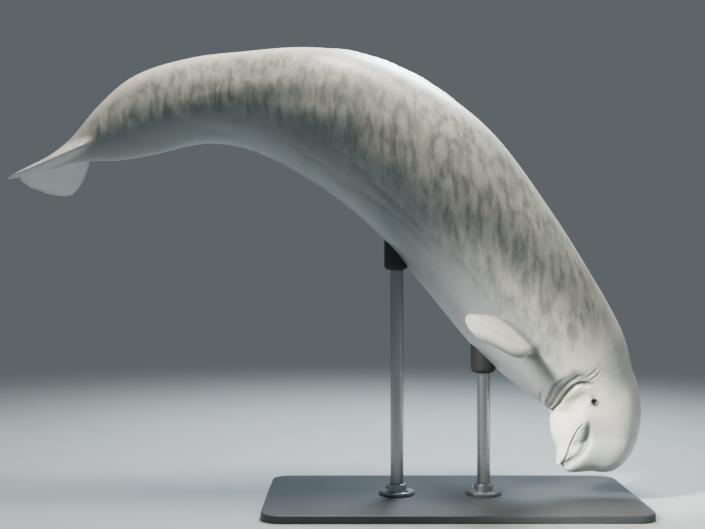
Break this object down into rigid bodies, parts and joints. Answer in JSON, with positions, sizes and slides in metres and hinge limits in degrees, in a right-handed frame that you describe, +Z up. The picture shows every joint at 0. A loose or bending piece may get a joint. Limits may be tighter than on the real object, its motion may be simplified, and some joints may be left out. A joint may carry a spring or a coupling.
{
  "type": "beluga whale display model",
  "caption": "Life-size beluga whale in a steep dive, head bent down, back arched and flukes trailing, held by rods on a flat display base.",
  "frame": {"origin": "on the floor, below the middle of the whole model", "axes": "+X towards the whale's head, +Y towards its left side, +Z up"},
  "size_m": [3.0132, 1.133, 2.1973],
  "materials": {
    "skin": "painted cast resin, satin, pale cream-grey like wet beluga skin",
    "eye": "polished dark brown",
    "stand_base": "dark grey powder coat",
    "stand_steel": "brushed stainless steel",
    "stand_rubber": "matte black rubber"
  },
  "bodies": {
    "root": {"head": "skin", "lower_jaw": "skin", "eye_left": "eye", "eye_right": "eye", "neck": "skin", "thorax": "skin", "abdomen": "skin", "loin": "skin", "tail_stock": "skin", "dorsal_ridge": "skin", "flipper_left": "skin", "flipper_right": "skin", "fluke_left": "skin", "fluke_right": "skin", "stand_base": "stand_base", "stand_flange_front": "stand_steel", "stand_flange_rear": "stand_steel", "stand_rod_front": "stand_steel", "stand_rod_rear": "stand_steel", "stand_pad_front": "stand_rubber", "stand_pad_rear": "stand_rubber"}
  },
  "joints": []
}
